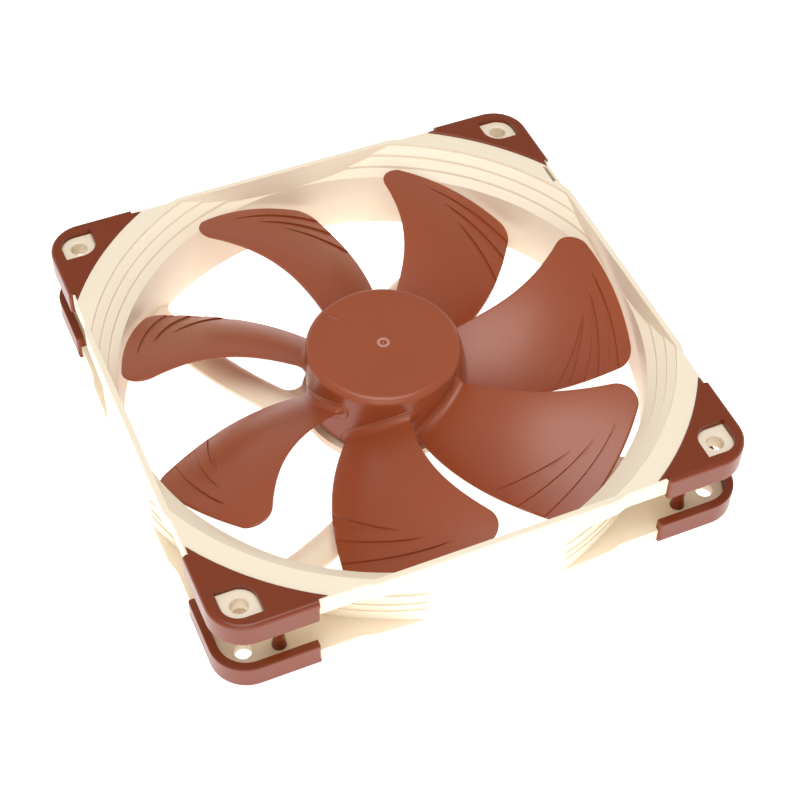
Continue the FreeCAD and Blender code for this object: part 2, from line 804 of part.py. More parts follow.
def bearing_sleeve():
    return tube(tube_inside, shaft_radius + running_gap, sleeve_bottom, sleeve_top)


def oil_seal():
    return tube(tube_inside, shaft_radius + seal_lip_gap, seal_bottom, seal_bottom + seal_thick)


# ---- stator ----

def pole_shoe():
    ring = tube(pole_radius, arm_end, core_bottom, core_top)
    reach = pole_radius * 2
    side = shoe_span / 2
    corners = [V(0, 0, 0), polar(reach, -side), polar(reach, side)]
    wedge = prism([line(corners[i], corners[(i + 1) % 3]) for i in range(3)], core_bottom, core_top)
    return ring.common(wedge)


def stator_core():
    """Stack of laminations: centre ring, arms and pole shoes."""
    ring = tube(ring_radius, core_inside, core_bottom, core_top)
    pieces = []
    for pole in range(pole_count):
        arm = block(ring_radius - arm_overlap, arm_end + arm_overlap, -arm_width / 2, arm_width / 2,
                    core_bottom, core_top)
        pieces.append(spun(arm.fuse(pole_shoe()), pole_count, pole))
    return one_solid(ring.fuse(pieces))


def insulator(face, direction):
    """Plastic bobbin half on one face of the core; direction is +1 above it and -1 below."""
    def levels(height):
        return sorted((face + running_gap * direction, face + height * direction))

    z0, z1 = levels(insulator_thick)
    c0, c1 = levels(insulator_thick + collar_height)
    body = tube(ring_radius, core_inside, z0, z1)
    collar = tube(ring_radius, ring_radius - collar_wall, c0, c1)
    pieces = [collar]
    for pole in range(pole_count):
        arm = block(ring_radius - arm_overlap, arm_end + arm_overlap, -arm_width / 2, arm_width / 2, z0, z1)
        flange = block(arm_end + collar_wall / 2, arm_end + collar_wall * 1.5, -bobbin_flange_width / 2,
                       bobbin_flange_width / 2, c0, c1)
        pieces.append(spun(arm.fuse(flange), pole_count, pole))
    body = body.fuse(pieces)
    if direction < 0:
        for pin in range(pole_count):
            body = body.cut(disc(pin_radius, board_bottom, pin_top + running_gap, pin_spot(pin)))
    return one_solid(body)


def coil(index):
    """Winding round one arm of the core."""
    clear = insulator_thick + coil_gap
    w = arm_width / 2 + slip_gap
    z0 = core_bottom - clear
    z1 = core_top + clear
    x0 = ring_radius + coil_end_gap
    x1 = math.sqrt(arm_end ** 2 - (w + winding_side) ** 2) - coil_end_gap
    outside = block(x0, x1, -w - winding_side, w + winding_side, z0 - winding_thick, z1 + winding_thick)
    rounded = [e for e in outside.Edges if abs(e.BoundBox.XLength - e.Length) < tiny]
    outside = outside.makeFillet(winding_round, rounded)
    inside = block(x0 - spare, x1 + spare, -w, w, z0, z1)
    return spun(outside.cut(inside), pole_count, index)


# ---- circuit board and what stands on it ----

def pin_spot(index):
    return polar(pin_place, 45.0 + 360.0 * index / pole_count)


def circuit_board():
    board = tube(board_radius, tube_radius + board_bore_gap, board_bottom, board_top)
    for pin in range(pole_count):
        board = board.cut(disc(pin_radius, board_bottom - spare, board_top + spare, pin_spot(pin)))
    return one_solid(board)


def winding_pins():
    """The pins that hold the bobbins on the board and end the windings, as separate solids."""
    pins = [disc(pin_radius, board_bottom - pin_below, pin_top, pin_spot(i)) for i in range(pole_count)]
    return Part.makeCompound(pins)


def board_part(size, angle, place):
    """Small part on the board, with its length along the ring that it stands on."""
    length, width, height = size
    z = board_top + running_gap
    body = block(place - width / 2, place + width / 2, -length / 2, length / 2, z, z + height)
    body.rotate(V(0, 0, 0), UP, angle)
    return body


def hall_sensor():
    return board_part(hall_size, hall_angle, part_place)


def driver_chip():
    return board_part(chip_size, chip_angle, post_place)


def capacitor():
    return board_part(capacitor_size, capacitor_angle, part_place)


def base_label():
    z = base_bottom + label_lift
    return disc(label_radius, z, z + label_thick)


# ---- all the pieces ----

def mirrored(shape, in_x, in_y, in_z):
    """Copy of the (+X, +Y) exhaust corner piece, carried to another corner or to the intake side."""
    copy = shape.copy()
    if in_x:
        copy = copy.mirror(V(0, 0, 0), V(1, 0, 0))
    if in_y:
        copy = copy.mirror(V(0, 0, 0), V(0, 1, 0))
    if in_z:
        copy = copy.mirror(V(0, 0, fan_depth / 2), UP)
    return copy


def pads():
    shapes = {}
    for side, grip in (("exhaust", cavity_bottom), ("intake", fan_depth - cavity_top)):
        master = pad(grip)
        for row in ("front", "back"):
            for hand in ("left", "right"):
                name = "%s_pad_%s_%s" % (side, row, hand)
                shapes[name] = mirrored(master, hand == "left", row == "front", side == "intake")
    return shapes


def build():
    shapes = {
        "housing": housing(),
        "impeller": impeller(),
        "rotor_yoke": rotor_yoke(),
        "ring_magnet": ring_magnet(),
        "shaft": shaft(),
        "shaft_bush": shaft_bush(),
        "retaining_clip": retaining_clip(),
        "bearing_tube": bearing_tube(),
        "stabiliser_magnet": stabiliser_magnet(),
        "thrust_plate": thrust_plate(),
        "bearing_sleeve": bearing_sleeve(),
        "oil_seal": oil_seal(),
        "stator_core": stator_core(),
        "upper_insulator": insulator(core_top, 1),
        "lower_insulator": insulator(core_bottom, -1),
        "circuit_board": circuit_board(),
        "winding_pins": winding_pins(),
        "hall_sensor": hall_sensor(),
        "driver_chip": driver_chip(),
        "capacitor": capacitor(),
        "base_label": base_label(),
    }
    for index in range(pole_count):
        shapes["coil_%d" % (index + 1)] = coil(index)
    shapes.update(pads())
    os.makedirs("parts", exist_ok=True)
    for name, shape in shapes.items():
        if not shape.isValid():
            raise ValueError(name + " is not a valid solid")
        shape.exportStep("parts/%s.step" % name)
        print("%-26s %9.1f mm3  solids %d" % (name, shape.Volume, len(shape.Solids)))


build()
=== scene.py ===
import bmesh
import bpy
import math
from mathutils import Matrix, Vector


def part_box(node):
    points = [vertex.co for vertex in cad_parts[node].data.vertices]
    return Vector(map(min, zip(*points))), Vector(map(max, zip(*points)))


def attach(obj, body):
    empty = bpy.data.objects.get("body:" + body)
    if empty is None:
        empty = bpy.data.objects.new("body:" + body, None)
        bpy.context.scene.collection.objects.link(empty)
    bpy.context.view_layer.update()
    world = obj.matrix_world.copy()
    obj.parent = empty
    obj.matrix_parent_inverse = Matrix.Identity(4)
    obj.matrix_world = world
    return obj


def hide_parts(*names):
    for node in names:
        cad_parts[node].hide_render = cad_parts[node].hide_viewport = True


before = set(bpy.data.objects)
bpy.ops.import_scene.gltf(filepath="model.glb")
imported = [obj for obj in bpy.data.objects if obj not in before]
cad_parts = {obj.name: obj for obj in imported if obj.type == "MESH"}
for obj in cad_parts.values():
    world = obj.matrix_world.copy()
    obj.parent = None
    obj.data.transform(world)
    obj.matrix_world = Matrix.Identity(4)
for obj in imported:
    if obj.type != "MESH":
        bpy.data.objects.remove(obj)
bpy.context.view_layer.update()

bl_info = {
    "name": "Case Fan",
    "version": (1, 0, 0),
    "blender": (4, 5, 0),
    "location": "View3D > Sidebar > Case Fan",
    "description": "Builds the visible pieces of a square axial case fan round its solid model",
    "category": "Object",
}

MM = 0.001
PADS = ["%s_pad_%s_%s" % (side, row, hand)
        for side in ("exhaust", "intake") for row in ("front", "back") for hand in ("left", "right")]

# Blade shape, in millimetres and degrees. Stations are evenly spaced from the hub to the tip.
HUB_RADIUS = 20.2
HUB_BOTTOM = 4.0
HUB_TOP = 23.0
HUB_WALL = 1.6
TIP_RADIUS = 67.2
GATE_RADIUS = 1.7           # outside and inside of the gate scar at the hub's centre
GATE_INSIDE = 0.85
GATE_DEPTH = 0.3
GATE_RISE = 0.09
# Nub in the scar's middle, as radii and depths below the hub's top
NUB = ((0, 0.02), (0.16, 0.05), (0.26, 0.14), (0.28, 0.3), (0, 0.3))
# Section of the tick, as shares of its width and heights over the hub's top
BEAD = ((-0.5, -0.1), (-0.5, 0.02), (-0.25, 0.08), (0.0, 0.1),
        (0.25, 0.08), (0.5, 0.02), (0.5, -0.1))
MARK_LINE = ((-5.7, 8.7), (-9.0, 13.65), (-11.0, 13.8))     # tick on the hub's top
MARK_WIDTH = 0.35
WINDING_LAYERS = 4
WINDING_ROUND = 1.2         # rounding of a winding's outer layer at its corners
WIRE_SIDES = 6
WIRE_FULLNESS = 0.98        # the wire's share of its own pitch, so that turns stay apart
LEAD_ANGLES = (9.0, 6.5, 11.3, 18.5)
TRAIL_ANGLES = (-36.4, -30.6, -23.6, -17.2)
LEAD_HEIGHTS = (16.0, 20.1, 22.7, 23.6)
TRAIL_HEIGHTS = (7.4, 7.6, 8.0, 8.5)
CAMBER = 0.55
THICK_ROOT = 2.0
THICK_TIP = 1.2
EDGE_SHARE = 0.45
FRONT_ROUND = 5.2
REAR_ROUND = 6.0
EDGE_ROUND = 0.45           # rounding of the blade's rim
ROOT_DEPTH = 0.6            # how far a blade's shell runs on inside the hub's wall
ROOT_SPAN = 3.2             # length of the finely divided part at the root
TIP_SPAN = 2.4              # and of the one at the tip
ROOT_ROWS = 10              # rows of faces in the root's part, crowded towards the hub
INNER_ROWS = 16             # rows from there to the first groove
LAND_ROWS = 3               # rows between two grooves, and on a groove's floor
OUTER_ROWS = 5              # rows from the last groove to the tip's part
TIP_ROWS = 14               # rows in the tip's part, crowded towards the tip
WALL_HALF = 0.06            # a groove's wall takes this much of the radius each side of its edge
EDGE_COLUMNS = (0.0, 0.0015, 0.0045, 0.009, 0.015, 0.023)    # shares of the chord near its rim
MIDDLE_COLUMNS = 66
MIDDLE_START = 0.035
GROOVE_MARGIN = 0.05        # a groove's full depth starts this far inside its edges
GROOVE_FADE = 0.12          # share of the chord over which a groove fades in
CLOSE = 0.0005 * MM         # points nearer together than this are joined
CIRCLE_SEARCH = 40.0        # widest angle from the edge at which a corner circle is looked for
CIRCLE_HALVINGS = 40
CIRCLE_PROBES = 400         # places along the edge where its distance is measured
# Grooves near the tip: share of the chord where each starts, its two edges' radii there,
# their radii at the trailing edge, and how the edges bend
GROOVES = (
    (0.53, 55.9, 56.2, 45.3, 49.1, 1.0),
    (0.43, 59.5, 59.9, 53.1, 57.1, 1.2),
    (0.29, 63.0, 63.3, 59.9, 63.0, 1.6),
)

# Stage, in metres; the sky's light changes between these two heights of a unit direction
HORIZON_END = 0.05
SKY_START = 0.5
OVERHEAD_PLACE, OVERHEAD_SIZE = (-0.08, -0.14, 1.0), 0.65
FRONT_PLACE, FRONT_SIZE = (-0.42, -1.02, 0.48), 0.9
FLOOR_HALF = 1.5
FLOOR_DROP = 0.05 * MM      # keeps the floor just clear of the fan's lowest faces


# ---- sizes, finishes and stage values that a user would change ----

class FanShape(bpy.types.PropertyGroup):
    blade_count: bpy.props.IntProperty(
        name="Blades", description="Number of blades round the hub",
        default=7, min=2)
    root_fillet: bpy.props.FloatProperty(
        name="Root fillet", description="Fillet where a blade meets the hub",
        default=2.4 * MM, unit="LENGTH")
    groove_depth: bpy.props.FloatProperty(
        name="Groove depth", description="Depth of the grooves near the tips",
        default=0.55 * MM, unit="LENGTH")
    hub_round: bpy.props.FloatProperty(
        name="Crown rounding", description="Rounding of the hub's top edge",
        default=2.0 * MM, unit="LENGTH")
    wire: bpy.props.FloatProperty(
        name="Wire", description="Diameter of the winding wire",
        default=0.4 * MM, unit="LENGTH")


class FanFinish(bpy.types.PropertyGroup):
    frame_colour: bpy.props.FloatVectorProperty(
        name="Frame", description="Colour of the frame moulding",
        subtype="COLOR", default=(0.865, 0.75, 0.58), min=0, max=1)
    rotor_colour: bpy.props.FloatVectorProperty(
        name="Impeller", description="Colour of the impeller",
        subtype="COLOR", default=(0.30, 0.064, 0.02), min=0, max=1)
    gate_colour: bpy.props.FloatVectorProperty(
        name="Gate scar", description="Colour of the scar at the hub's centre",
        subtype="COLOR", default=(0.5, 0.22, 0.17), min=0, max=1)
    pad_colour: bpy.props.FloatVectorProperty(
        name="Pads", description="Colour of the corner pads",
        subtype="COLOR", default=(0.185, 0.028, 0.003), min=0, max=1)
    rotor_roughness: bpy.props.FloatProperty(
        name="Impeller roughness", description="Roughness of the impeller",
        default=0.35, min=0, max=1, subtype="FACTOR")


class FanStage(bpy.types.PropertyGroup):
    azimuth: bpy.props.FloatProperty(
        name="Azimuth", description="Camera's turn round the fan",
        default=-0.4302, subtype="ANGLE", unit="ROTATION")
    elevation: bpy.props.FloatProperty(
        name="Elevation", description="Camera's height angle",
        default=0.8620, subtype="ANGLE", unit="ROTATION")
    roll: bpy.props.FloatProperty(
        name="Roll", description="Camera's turn about its own axis",
        default=0.0274, subtype="ANGLE", unit="ROTATION")
    distance: bpy.props.FloatProperty(
        name="Distance", description="Camera to the point it looks at",
        default=461.256 * MM, unit="LENGTH")
    target: bpy.props.FloatVectorProperty(
        name="Target", description="Point the camera looks at",
        default=(-0.079 * MM, -11.432 * MM, 12.5 * MM), subtype="XYZ",
        unit="LENGTH")
    lens: bpy.props.FloatProperty(
        name="Lens", description="Focal length in millimetres on a 36 mm sensor",
        default=80.43)
    floor_colour: bpy.props.FloatVectorProperty(
        name="Floor", description="Colour of the floor",
        subtype="COLOR", default=(0.94, 0.94, 0.94), min=0, max=1)
    floor_glow: bpy.props.FloatProperty(
        name="Floor glow", description="Light that the floor gives off",
        default=0.9)
    sky: bpy.props.FloatProperty(
        name="Sky", description="Strength of the light from high up", default=0.42)
    horizon: bpy.props.FloatProperty(
        name="Horizon", description="Strength of the light from low down",
        default=1.1)
    overhead: bpy.props.FloatProperty(
        name="Overhead", description="Power of the soft light above",
        default=6.0, unit="POWER")
    front: bpy.props.FloatProperty(
        name="Front", description="Power of the soft light in front",
        default=4.0, unit="POWER")


# ---- node helpers ----

def add_node(tree, kind, inputs=None, **settings):
    """New node in a tree: settings are its attributes, inputs its sockets' values or links."""
    node = tree.nodes.new(kind)
    for name, value in settings.items():
        setattr(node, name, value)
    for key, value in (inputs or {}).items():
        socket = node.inputs[key]
        if isinstance(value, bpy.types.NodeSocket):
            tree.links.new(value, socket)
        else:
            socket.default_value = value
    return node


def moulding_group():
    """Shader group for moulded plastic and rubber: slow shade drift, fine speckle and height."""
    tree = bpy.data.node_groups.new("moulded_surface", "ShaderNodeTree")
    face = tree.interface
    face.new_socket("Colour", in_out="INPUT", socket_type="NodeSocketColor")
    for name, value in (("Drift", 0.04), ("Grain Scale", 4000.0),
                        ("Rough", 0.45), ("Rough Spread", 0.08)):
        face.new_socket(name, in_out="INPUT", socket_type="NodeSocketFloat").default_value = value
    face.new_socket("Colour", in_out="OUTPUT", socket_type="NodeSocketColor")
    face.new_socket("Roughness", in_out="OUTPUT", socket_type="NodeSocketFloat")
    face.new_socket("Height", in_out="OUTPUT", socket_type="NodeSocketFloat")
    given = tree.nodes.new("NodeGroupInput")
    result = tree.nodes.new("NodeGroupOutput")
    place = tree.nodes.new("ShaderNodeTexCoord").outputs["Object"]
    cloud = add_node(tree, "ShaderNodeTexNoise", {"Vector": place, "Scale": 45.0, "Detail": 3.0})
    grain = add_node(tree, "ShaderNodeTexNoise", {"Vector": place, "Scale": given.outputs["Grain Scale"],
                                                  "Detail": 2.0})
    lift = add_node(tree, "ShaderNodeMath", {0: cloud.outputs["Fac"], 1: 0.5}, operation="SUBTRACT")
    fleck = add_node(tree, "ShaderNodeMath", {0: grain.outputs["Fac"], 1: 0.5}, operation="SUBTRACT")
    both = add_node(tree, "ShaderNodeMath", {0: fleck.outputs[0], 1: 0.6, 2: lift.outputs[0]},
                    operation="MULTIPLY_ADD")
    share = add_node(tree, "ShaderNodeMath", {0: both.outputs[0], 1: given.outputs["Drift"], 2: 1.0},
                     operation="MULTIPLY_ADD")
    tint = add_node(tree, "ShaderNodeVectorMath", {0: given.outputs["Colour"], 1: share.outputs[0]},
                    operation="MULTIPLY")
    rough = add_node(tree, "ShaderNodeMath", {0: lift.outputs[0], 1: given.outputs["Rough Spread"],
                                              2: given.outputs["Rough"]}, operation="MULTIPLY_ADD")
    tree.links.new(tint.outputs[0], result.inputs["Colour"])
    tree.links.new(rough.outputs[0], result.inputs["Roughness"])
    tree.links.new(grain.outputs["Fac"], result.inputs["Height"])
    return tree


def machined_group():
    """Shader group for metals: fine lines round the axis, and a cloudy variation."""
    tree = bpy.data.node_groups.new("machined_surface", "ShaderNodeTree")
    face = tree.interface
    face.new_socket("Colour", in_out="INPUT", socket_type="NodeSocketColor")
    for name, value in (("Line Scale", 3000.0), ("Rough", 0.3), ("Rough Spread", 0.15)):
        face.new_socket(name, in_out="INPUT", socket_type="NodeSocketFloat").default_value = value
    face.new_socket("Colour", in_out="OUTPUT", socket_type="NodeSocketColor")
    face.new_socket("Roughness", in_out="OUTPUT", socket_type="NodeSocketFloat")
    face.new_socket("Height", in_out="OUTPUT", socket_type="NodeSocketFloat")
    given = tree.nodes.new("NodeGroupInput")
    result = tree.nodes.new("NodeGroupOutput")
    place = tree.nodes.new("ShaderNodeTexCoord").outputs["Object"]
    parts = add_node(tree, "ShaderNodeSeparateXYZ", {0: place})
    flat = add_node(tree, "ShaderNodeCombineXYZ", {0: parts.outputs[0], 1: parts.outputs[1]})
    radius = add_node(tree, "ShaderNodeVectorMath", {0: flat.outputs[0]}, operation="LENGTH")
    rings = add_node(tree, "ShaderNodeCombineXYZ", {0: radius.outputs["Value"], 2: parts.outputs[2]})
    lines = add_node(tree, "ShaderNodeTexNoise", {"Vector": rings.outputs[0], "Detail": 2.0,
                                                  "Scale": given.outputs["Line Scale"]})
    cloud = add_node(tree, "ShaderNodeTexNoise", {"Vector": place, "Scale": 220.0, "Detail": 3.0})
    mix = add_node(tree, "ShaderNodeMath", {0: lines.outputs["Fac"], 1: cloud.outputs["Fac"]},
                   operation="MULTIPLY")
    drop = add_node(tree, "ShaderNodeMath", {0: mix.outputs[0], 1: 0.5, 2: 0.85},
                    operation="MULTIPLY_ADD")
    tint = add_node(tree, "ShaderNodeVectorMath", {0: given.outputs["Colour"], 1: drop.outputs[0]},
                    operation="MULTIPLY")
    rough = add_node(tree, "ShaderNodeMath", {0: mix.outputs[0], 1: given.outputs["Rough Spread"],
                                              2: given.outputs["Rough"]}, operation="MULTIPLY_ADD")
    tree.links.new(tint.outputs[0], result.inputs["Colour"])
    tree.links.new(rough.outputs[0], result.inputs["Roughness"])
    tree.links.new(lines.outputs["Fac"], result.inputs["Height"])
    return tree


def group_of(name, maker):
    return bpy.data.node_groups.get(name) or maker()


def finish_of(name, colour, group, values, bump=0.02, depth=0.00002, **shader):
    """Material whose colour, roughness and bump come from one of the surface groups."""
    made = bpy.data.materials.new(name)
    made.use_nodes = True
    tree = made.node_tree
    bsdf = tree.nodes["Principled BSDF"]
    surface = add_node(tree, "ShaderNodeGroup", node_tree=group)
    surface.inputs["Colour"].default_value = (*colour, 1.0)
    for key, value in values.items():
        surface.inputs[key].default_value = value
    relief = add_node(tree, "ShaderNodeBump", {"Strength": bump, "Distance": depth,
                                               "Height": surface.outputs["Height"]})
    tree.links.new(surface.outputs["Colour"], bsdf.inputs["Base Color"])
    tree.links.new(surface.outputs["Roughness"], bsdf.inputs["Roughness"])
    tree.links.new(relief.outputs["Normal"], bsdf.inputs["Normal"])
    for key, value in shader.items():
        bsdf.inputs[key.replace("_", " ")].default_value = value
    made.diffuse_color = (*colour, 1.0)
    return made


def moulded(name, colour, rough, grain=4000.0, spread=0.08, drift=0.05, bump=0.15, **shader):
    return finish_of(name, colour, group_of("moulded_surface", moulding_group),
                     {"Rough": rough, "Rough Spread": spread, "Grain Scale": grain, "Drift": drift},
                     bump=bump, **shader)


def machined(name, colour, rough, lines=3000.0, spread=0.15, bump=0.1, **shader):
    return finish_of(name, colour, group_of("machined_surface", machined_group),
                     {"Rough": rough, "Rough Spread": spread, "Line Scale": lines}, bump=bump,
                     Metallic=1.0, **shader)


# ---- mesh helpers ----

def new_piece(name, mesh, body, material):
    """Links a mesh as a piece of the fan that rides on a body."""
    piece = bpy.data.objects.new(name, mesh)
    bpy.context.scene.collection.objects.link(piece)
    mesh.materials.append(material)
    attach(piece, body)
    return piece


def paint(node, material):
    """Gives a carried-over node its material."""
    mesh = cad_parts[node].data
    mesh.materials.clear()
    mesh.materials.append(material)


def applied(piece):
    """Replaces a piece's modifiers by the plain mesh they make."""
    bpy.context.view_layer.update()
    graph = bpy.context.evaluated_depsgraph_get()
    mesh = bpy.data.meshes.new_from_object(piece.evaluated_get(graph), preserve_all_data_layers=True,
                                           depsgraph=graph)
    piece.modifiers.clear()
    piece.data = mesh
    return piece


def tree_modifier(piece, tree, values):
    """Adds a geometry tree to a piece, with its named inputs set by their identifiers."""
    modifier = piece.modifiers.new(tree.name, "NODES")
    modifier.node_group = tree
    for item in tree.interface.items_tree:
        if item.item_type == "SOCKET" and item.in_out == "INPUT" and item.name in values:
            modifier[item.identifier] = values[item.name]
    return modifier


# ---- blade ----

def station(values, t):
    """Smooth value between four evenly spaced stations from hub (t = 0) to tip (t = 1)."""
    total = 0.0
    last = len(values) - 1
    for i, value in enumerate(values):
        weight = 1.0
        for j in range(last + 1):
            if j != i:
                weight *= (t * last - j) / (i - j)
        total += value * weight
    return total


def share_of(radius):
    return (radius - HUB_RADIUS) / (TIP_RADIUS - HUB_RADIUS)


def edge_angle(radius, trailing):
    return station(TRAIL_ANGLES if trailing else LEAD_ANGLES, share_of(radius))


def corner_circle(trailing):
    """Circle rounding a tip corner: its centre's angle, and the radius where it meets the edge."""
    size = REAR_ROUND if trailing else FRONT_ROUND
    reach = TIP_RADIUS - size
    hand = 1 if trailing else -1
    low, high = 0.0, CIRCLE_SEARCH
    for _ in range(CIRCLE_HALVINGS):
        middle = (low + high) / 2
        angle = math.radians(edge_angle(TIP_RADIUS, trailing) + hand * middle)
        centre = Vector((reach * math.cos(angle), reach * math.sin(angle)))
        gap, leave = min(edge_gap(centre, TIP_RADIUS - 3 * size * i / CIRCLE_PROBES, trailing)
                         for i in range(CIRCLE_PROBES + 1))
        if gap < size:
            low = middle
        else:
            high = middle
    return edge_angle(TIP_RADIUS, trailing) + hand * low, leave


def edge_gap(centre, radius, trailing):
    """Distance from a point to the blade's edge at a radius, and that radius."""
    a = math.radians(edge_angle(radius, trailing))
    return (Vector((radius * math.cos(a), radius * math.sin(a))) - centre).length, radius


CORNERS = {side: corner_circle(side) for side in (False, True)}


def limit_angle(radius, trailing):
    """Angle at which the blade's rounded outline stands at a radius."""
    centre, leave = CORNERS[trailing]
    if radius <= leave:
        return edge_angle(radius, trailing)
    size = REAR_ROUND if trailing else FRONT_ROUND
    reach = TIP_RADIUS - size
    cosine = (radius ** 2 + reach ** 2 - size ** 2) / (2 * radius * reach)
    swing = math.degrees(math.acos(max(-1.0, min(1.0, cosine))))
    return centre - swing if trailing else centre + swing


def groove_edge(index, upper, s):
    """Radius of one groove edge at a share of the chord, and at its start's value before that."""
    start, low0, high0, low1, high1, bend = GROOVES[index]
    first, last = (high0, high1) if upper else (low0, low1)
    if s <= start:
        return first
    u = (s - start) / (1 - start)
    return first + (last - first) * u ** bend


def chord_shares():
    """Shares of the chord for the columns, closer at both edges."""
    step = (1 - 2 * MIDDLE_START) / MIDDLE_COLUMNS
    middle = [MIDDLE_START + step * i for i in range(MIDDLE_COLUMNS + 1)]
    return list(EDGE_COLUMNS) + middle + [1 - v for v in reversed(EDGE_COLUMNS)]


def row_radii(s):
    """Radii of the blade's rows at a share of the chord."""
    radii = [HUB_RADIUS - ROOT_DEPTH]
    radii += [HUB_RADIUS + ROOT_SPAN * (i / ROOT_ROWS) ** 1.6 for i in range(ROOT_ROWS + 1)]
    stops = [(HUB_RADIUS + ROOT_SPAN, 0)]
    for i in range(len(GROOVES)):
        low = groove_edge(i, False, s)
        high = max(groove_edge(i, True, s), low + 3 * WALL_HALF)
        before = LAND_ROWS if i else INNER_ROWS
        stops += [(low - WALL_HALF, before), (low + WALL_HALF, 1)]
        stops += [(high - WALL_HALF, LAND_ROWS), (high + WALL_HALF, 1)]
    stops.append((TIP_RADIUS - TIP_SPAN, OUTER_ROWS))
    for (start, _), (end, steps) in zip(stops, stops[1:]):
        radii += [start + (end - start) * i / steps for i in range(1, steps + 1)]
    return radii + [TIP_RADIUS - TIP_SPAN * (1 - i / TIP_ROWS) ** 2 for i in range(1, TIP_ROWS + 1)]


def wall_rows():
    """Numbers of the rows on which the grooves' walls begin or end."""
    rows = []
    row = ROOT_ROWS + 1 + INNER_ROWS
    for _ in GROOVES:
        floor = row + 1
        rows += [row, floor, floor + LAND_ROWS, floor + LAND_ROWS + 1]
        row = floor + LAND_ROWS + 1 + LAND_ROWS
    return rows


def blade_mesh(shape):
    """One blade as a closed shell: two sheets joined round the rim, with a fillet into the hub."""
    fillet = shape.root_fillet / MM
    depth = shape.groove_depth / MM
    columns = chord_shares()
    bm = bmesh.new()
    top, low = [], []
    rows = len(row_radii(0.0))
    grid = [row_radii(s) for s in columns]
    for row in range(rows):
        top.append([])
        low.append([])
        for col, s in enumerate(columns):
            radius = grid[col][row]
            a, b = blade_sides(radius, s, fillet, depth)
            rim = row == rows - 1 or col in (0, len(columns) - 1)
            top[-1].append(bm.verts.new(a))
            low[-1].append(top[-1][-1] if rim else bm.verts.new(b))
    for row in range(rows - 1):
        for col in range(len(columns) - 1):
            sheet_face(bm, [top[row][col], top[row + 1][col],
                            top[row + 1][col + 1], top[row][col + 1]])
            sheet_face(bm, [low[row][col], low[row][col + 1],
                            low[row + 1][col + 1], low[row + 1][col]])
    for row in wall_rows():
        for a, b in zip(top[row], top[row][1:]):
            bm.edges.get((a, b)).smooth = False
    sheet_face(bm, top[0] + low[0][-2:0:-1])
    return finished(bm, "blade")


def sheet_face(bm, corners):
    """Face from its corners, leaving out repeated ones."""
    kept = []
    for v in corners:
        if v not in kept:
            kept.append(v)
    if len(kept) > 2:
        bm.faces.new(kept)


def blade_sides(radius, s, fillet, depth):
    """Upper and lower surface points at a radius and share of the chord, in metres."""
    t = share_of(radius)
    lead = limit_angle(radius, False)
    trail = limit_angle(radius, True)
    lead_plain = edge_angle(radius, False)
    trail_plain = edge_angle(radius, True)
    off = radius - HUB_RADIUS
    grow = 0.0
    if off < fillet:
        x = fillet - max(off, 0.0)
        grow = fillet - math.sqrt(max(0.0, fillet ** 2 - x ** 2))
    turn = math.degrees(grow / radius)
    angle = lead + turn + (trail - turn - lead - turn) * s
    share = (angle - lead_plain) / (trail_plain - lead_plain)
    fall = share - CAMBER * share * (1 - share)
    height = station(LEAD_HEIGHTS, t) + (station(TRAIL_HEIGHTS, t) - station(LEAD_HEIGHTS, t)) * fall
    middle = THICK_ROOT + (THICK_TIP - THICK_ROOT) * t
    belly = max(0.0, 4 * share * (1 - share))
    thick = middle * (EDGE_SHARE + (1 - EDGE_SHARE) * belly)
    centre = height - thick / 2
    half = thick / 2 + grow
    chord = radius * math.radians(lead - trail + 2 * turn)
    inside = min(s, 1 - s) * chord
    inside = min(inside, TIP_RADIUS - radius)
    rim = EDGE_ROUND + grow
    rounding = 1.0
    if inside < rim:
        rounding = math.sqrt(max(0.0, 1 - (1 - inside / rim) ** 2))
    sunk = groove_share(radius, s) * depth
    a = math.radians(angle)
    x, y = radius * math.cos(a), radius * math.sin(a)
    upper = centre + half * rounding - sunk * rounding
    under = centre - half * rounding
    return Vector((x, y, upper)) * MM, Vector((x, y, under)) * MM


def groove_share(radius, s):
    """1 on a groove's floor and 0 off it, fading in from the groove's start."""
    for i, groove in enumerate(GROOVES):
        start = groove[0]
        if s <= start:
            continue
        low = groove_edge(i, False, s)
        high = groove_edge(i, True, s)
        if low + GROOVE_MARGIN < radius < high - GROOVE_MARGIN:
            return min(1.0, (s - start) / GROOVE_FADE)
    return 0.0


# ---- hub, gate scar and tick ----

def lathe(bm, profile, steps=144, closed=True):
    """Solid of revolution from (radius, height) corners in millimetres."""
    rings = []
    for radius, z in profile:
        if radius == 0:
            rings.append([bm.verts.new((0, 0, z * MM))])
        else:
            ring = []
            for i in range(steps):
                a = 2 * math.pi * i / steps
                ring.append(bm.verts.new((radius * math.cos(a) * MM, radius * math.sin(a) * MM,
                                          z * MM)))
            rings.append(ring)
    pairs = list(zip(rings, rings[1:]))
    if closed:
        pairs.append((rings[-1], rings[0]))
    for one, two in pairs:
        for i in range(steps):
            j = (i + 1) % steps
            corners = [one[i % len(one)], one[j % len(one)], two[j % len(two)], two[i % len(two)]]
            sheet_face(bm, corners)


def quarter(centre_r, centre_z, radius, start, end, steps=8):
    """Points of an arc in a (radius, height) profile, angles in degrees."""
    points = []
    for i in range(steps + 1):
        a = math.radians(start + (end - start) * i / steps)
        points.append((centre_r + radius * math.cos(a), centre_z + radius * math.sin(a)))
    return points


